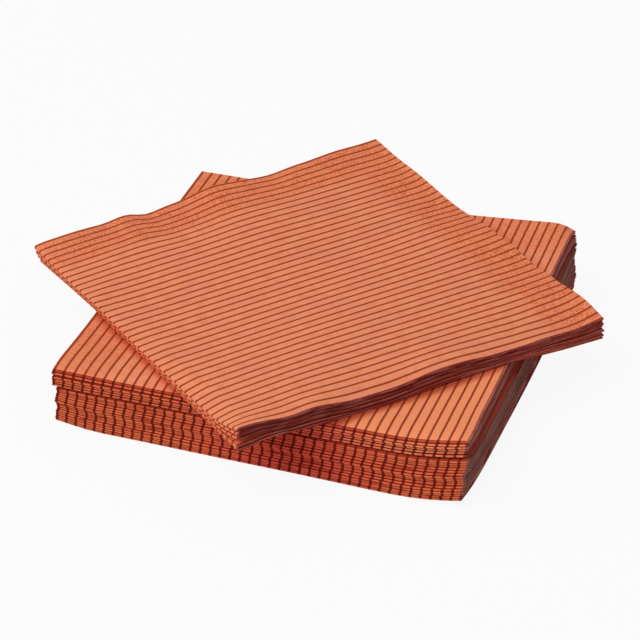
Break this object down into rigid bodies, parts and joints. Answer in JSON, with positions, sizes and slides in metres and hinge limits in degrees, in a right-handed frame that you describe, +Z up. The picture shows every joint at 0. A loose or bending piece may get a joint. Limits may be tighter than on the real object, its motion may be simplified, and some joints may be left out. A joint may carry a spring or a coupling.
{
  "type": "stack of paper napkins",
  "caption": "Square stack of pinstriped tissue napkins, each a sheet folded to a quarter, with a loose group turned askew on top.",
  "frame": {"origin": "on the table, under the middle of the squared-up lower pile", "axes": "+Z up from the table, +X along the pile's front fold towards the side fold, +Y towards the back"},
  "size_m": [0.2329, 0.233, 0.0312],
  "materials": {
    "printed_tissue": "matt orange tissue with thin dark red-brown pinstripes"
  },
  "bodies": {
    "root": {"napkin_01": "printed_tissue", "napkin_02": "printed_tissue", "napkin_03": "printed_tissue", "napkin_04": "printed_tissue", "napkin_05": "printed_tissue", "napkin_06": "printed_tissue", "napkin_07": "printed_tissue", "napkin_08": "printed_tissue", "napkin_09": "printed_tissue", "napkin_10": "printed_tissue", "napkin_11": "printed_tissue", "napkin_12": "printed_tissue", "napkin_13": "printed_tissue", "napkin_14": "printed_tissue", "napkin_15": "printed_tissue", "napkin_16": "printed_tissue", "napkin_17": "printed_tissue", "napkin_18": "printed_tissue", "napkin_19": "printed_tissue", "napkin_20": "printed_tissue", "napkin_21": "printed_tissue", "napkin_22": "printed_tissue", "napkin_23": "printed_tissue", "napkin_24": "printed_tissue", "napkin_25": "printed_tissue", "napkin_26": "printed_tissue"}
  },
  "joints": []
}
